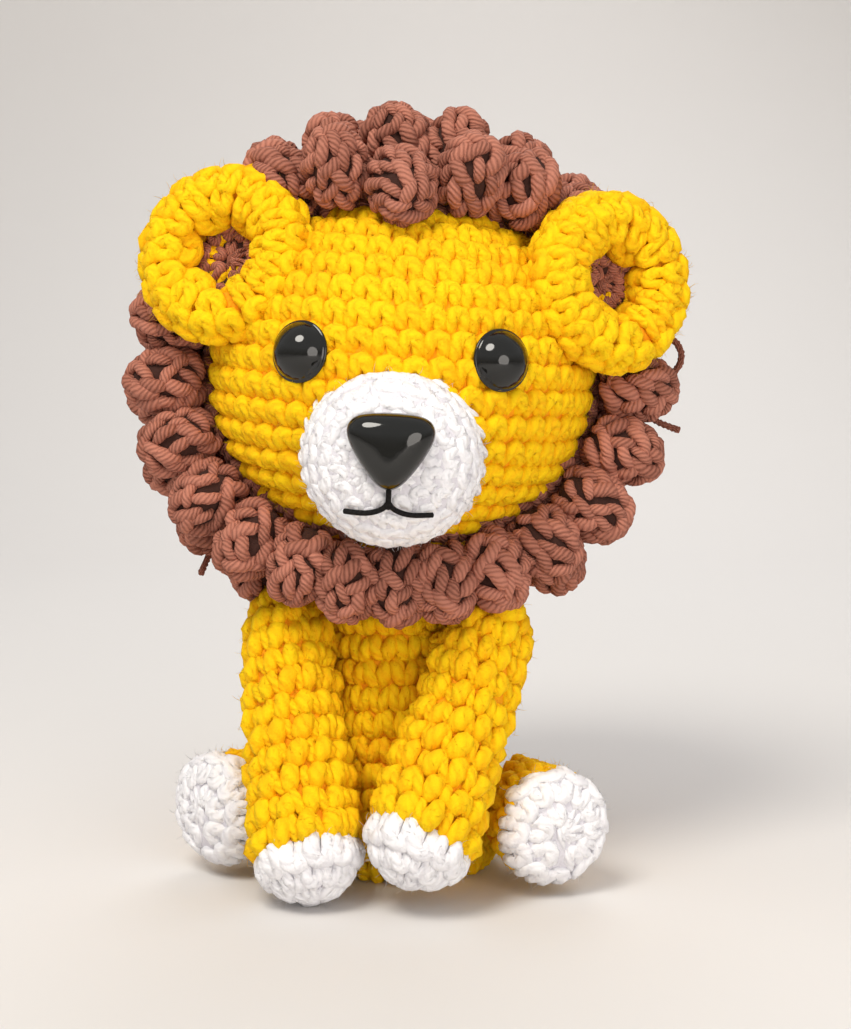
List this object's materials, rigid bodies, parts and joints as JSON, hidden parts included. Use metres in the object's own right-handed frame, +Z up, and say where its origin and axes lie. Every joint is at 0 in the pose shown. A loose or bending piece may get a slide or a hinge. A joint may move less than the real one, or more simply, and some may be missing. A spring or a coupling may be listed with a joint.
{
  "type": "crocheted sitting lion toy",
  "caption": "Crocheted lion soft toy, sitting, with a bobble-stitch mane, round ears, domed eyes, stuffed arms and legs that give at their seams.",
  "frame": {"origin": "centre of the flat base that the body sits on, on the ground", "axes": "+Z up, the face looks along -Y, +X to the right of a viewer who faces the toy"},
  "size_m": [0.1203, 0.1155, 0.1662],
  "materials": {
    "yellow_yarn": "matte crocheted yarn, soft halo of fibres",
    "white_yarn": "matte crocheted yarn, soft halo of fibres",
    "brown_yarn": "plied cotton yarn with a slight lustre",
    "black_thread": "matte embroidery thread",
    "wadding": "matte polyester fibre",
    "black_plastic": "polished",
    "white_plastic": "moulded"
  },
  "bodies": {
    "body": {"body_shell": "yellow_yarn", "body_stuffing": "wadding"},
    "neck": {"neck_wad": "wadding", "neck_seam": "yellow_yarn"},
    "head": {"head_shell": "yellow_yarn", "head_stuffing": "wadding", "muzzle_shell": "white_yarn", "muzzle_stuffing": "wadding", "muzzle_seam": "white_yarn", "mouth_thread": "black_thread", "nose": "black_plastic", "nose_washer": "white_plastic", "left_eye": "black_plastic", "right_eye": "black_plastic", "left_eye_washer": "white_plastic", "right_eye_washer": "white_plastic", "mane_hood": "brown_yarn", "mane_row_1": "brown_yarn", "mane_row_2": "brown_yarn", "mane_row_3": "brown_yarn", "mane_row_4": "brown_yarn", "mane_row_5": "brown_yarn", "mane_row_6": "brown_yarn", "forelock": "brown_yarn", "mane_yarn_ends": "brown_yarn", "left_ear": "yellow_yarn", "right_ear": "yellow_yarn", "left_ear_centre": "brown_yarn", "right_ear_centre": "brown_yarn", "left_ear_seam": "yellow_yarn", "right_ear_seam": "yellow_yarn"},
    "left_arm": {"left_arm_sleeve": "yellow_yarn", "left_paw": "white_yarn", "left_arm_stuffing": "wadding", "left_shoulder_seam": "yellow_yarn"},
    "right_arm": {"right_arm_sleeve": "yellow_yarn", "right_paw": "white_yarn", "right_arm_stuffing": "wadding", "right_shoulder_seam": "yellow_yarn"},
    "left_leg": {"left_leg_sleeve": "yellow_yarn", "left_sole": "white_yarn", "left_leg_stuffing": "wadding", "left_hip_seam": "yellow_yarn"},
    "right_leg": {"right_leg_sleeve": "yellow_yarn", "right_sole": "white_yarn", "right_leg_stuffing": "wadding", "right_hip_seam": "yellow_yarn"},
    "tail": {"tail": "yellow_yarn", "tail_tuft": "brown_yarn", "tail_seam": "yellow_yarn"}
  },
  "joints": [
    {"name": "head_turn", "type": "hinge", "parent": "body", "child": "neck", "pos_m": [0, 0, 0.0678], "axis": [0, 0, 1], "range_deg": [-12, 12], "stiffness_Nm_per_rad": 0.6},
    {"name": "head_nod", "type": "hinge", "parent": "neck", "child": "head", "pos_m": [0, 0, 0.0695], "axis": [1, 0, 0], "range_deg": [-5, 4], "stiffness_Nm_per_rad": 1.6},
    {"name": "left_arm_swing", "type": "hinge", "parent": "body", "child": "left_arm", "pos_m": [-0.0265, -0.01021, 0.0515], "axis": [-0.9781, 0.2079, 0], "range_deg": [0, 28], "stiffness_Nm_per_rad": 0.03},
    {"name": "right_arm_swing", "type": "hinge", "parent": "body", "child": "right_arm", "pos_m": [0.02006, -0.02011, 0.0515], "axis": [-0.9781, 0.2079, 0], "range_deg": [0, 28], "stiffness_Nm_per_rad": 0.03},
    {"name": "left_leg_swing", "type": "hinge", "parent": "body", "child": "left_leg", "pos_m": [-0.02387, -0.00246, 0.015], "axis": [-0.9947, -0.1024, 0], "range_deg": [-5, 15], "stiffness_Nm_per_rad": 0.08},
    {"name": "right_leg_swing", "type": "hinge", "parent": "body", "child": "right_leg", "pos_m": [0.02081, -0.01196, 0.015], "axis": [-0.8671, 0.4982, 0], "range_deg": [-5, 15], "stiffness_Nm_per_rad": 0.08},
    {"name": "tail_swing", "type": "hinge", "parent": "body", "child": "tail", "pos_m": [0.00566, 0.02661, 0.015], "axis": [0, 0, 1], "range_deg": [-20, 20], "stiffness_Nm_per_rad": 0.01}
  ]
}
